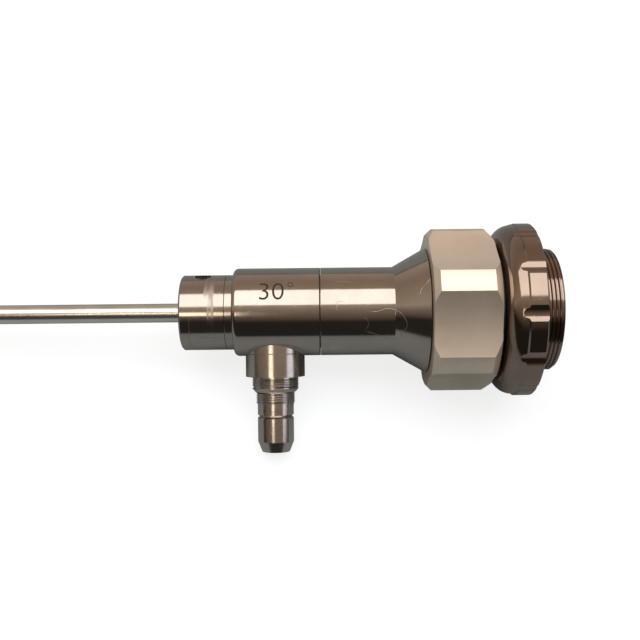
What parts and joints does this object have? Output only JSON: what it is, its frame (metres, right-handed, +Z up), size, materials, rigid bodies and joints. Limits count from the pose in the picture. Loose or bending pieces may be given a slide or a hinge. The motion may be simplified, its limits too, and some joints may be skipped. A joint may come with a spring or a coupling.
{
  "type": "rigid endoscope",
  "caption": "Slim rigid endoscope with an oblique tip, a side light post, a six-sided focus ring and a scalloped ring whose male thread screws into a camera head.",
  "frame": {"origin": "on the optical axis, at the camera seat face of the scalloped ring", "axes": "+X along the instrument towards the camera end, +Z up from the table it lies on; the optical axis is tilted 4.05 degrees, lower at the tip, and the light post points to -Y and down"},
  "size_m": [0.2383, 0.0459, 0.0363],
  "materials": {
    "body_steel": "polished stainless steel, fine scratches",
    "collar_steel": "polished stainless steel, scuffed in use",
    "shaft_steel": "fine drawn stainless steel tube",
    "post_steel": "polished stainless steel",
    "camera_ring_steel": "polished bronze-brown coated steel",
    "champagne_ring": "satin champagne anodised",
    "inner_steel": "turned",
    "black_aluminium": "matt black anodised",
    "lug_brass": "turned",
    "black_seal": "matt black rubber",
    "optical_glass": "clear coated glass",
    "light_fibre": "polished fibre bundle",
    "potting_resin": "cast resin"
  },
  "bodies": {
    "coupler": {"rear_housing": "body_steel", "barrel": "black_aluminium", "ring_seals": "black_seal", "journal_seal": "black_seal", "ring_retainer": "black_aluminium", "snap_ring": "inner_steel", "rear_window": "optical_glass", "window_retainer": "black_aluminium"},
    "scope": {"outer_tube": "shaft_steel", "shaft_fibres": "light_fibre", "inner_tube": "inner_steel", "distal_window": "optical_glass", "prism": "optical_glass", "objective_lens": "optical_glass", "rod_lenses": "optical_glass", "rod_spacers": "black_aluminium", "shaft_ferrule": "shaft_steel", "sheath_collar": "collar_steel", "lock_ring": "collar_steel", "front_body": "body_steel", "light_post": "post_steel", "post_ferrule": "inner_steel", "post_fibres": "light_fibre", "fibre_manifold": "potting_resin", "tube_holder": "inner_steel", "ocular_cell": "black_aluminium", "ocular_lens": "optical_glass", "ocular_retainer": "black_aluminium", "seam_seal": "black_seal", "spigot_nut": "inner_steel"},
    "focus_ring": {"focus_ring": "champagne_ring"},
    "lens_carriage": {"lens_cell": "black_aluminium", "focus_lugs": "lug_brass", "lug_screws": "inner_steel", "focus_lens_front": "optical_glass", "focus_lens_spacer": "black_aluminium", "focus_lens_rear": "optical_glass", "focus_lens_retainer": "black_aluminium"},
    "camera_ring": {"camera_ring": "camera_ring_steel"}
  },
  "joints": [
    {"name": "scope_turn", "type": "hinge", "parent": "coupler", "child": "scope", "pos_m": [-0.04334, 0, -0.00307], "axis": [0.9975, 0, 0.0706], "continuous": true},
    {"name": "focus_turn", "type": "hinge", "parent": "coupler", "child": "focus_ring", "pos_m": [-0.01476, 0, -0.00104], "axis": [0.9975, 0, 0.0706], "range_deg": [-60, 60]},
    {"name": "focus_slide", "type": "slide", "parent": "coupler", "child": "lens_carriage", "axis": [0.9975, 0, 0.0706], "range_m": [-0.0015, 0.0015]},
    {"name": "camera_ring_turn", "type": "hinge", "parent": "coupler", "child": "camera_ring", "pos_m": [0, 0, 0], "axis": [0.9975, 0, 0.0706], "continuous": true}
  ],
  "couplings": [
    {"joint": "focus_slide", "follows": "focus_turn", "m_per_rad": 0.0014324}
  ]
}
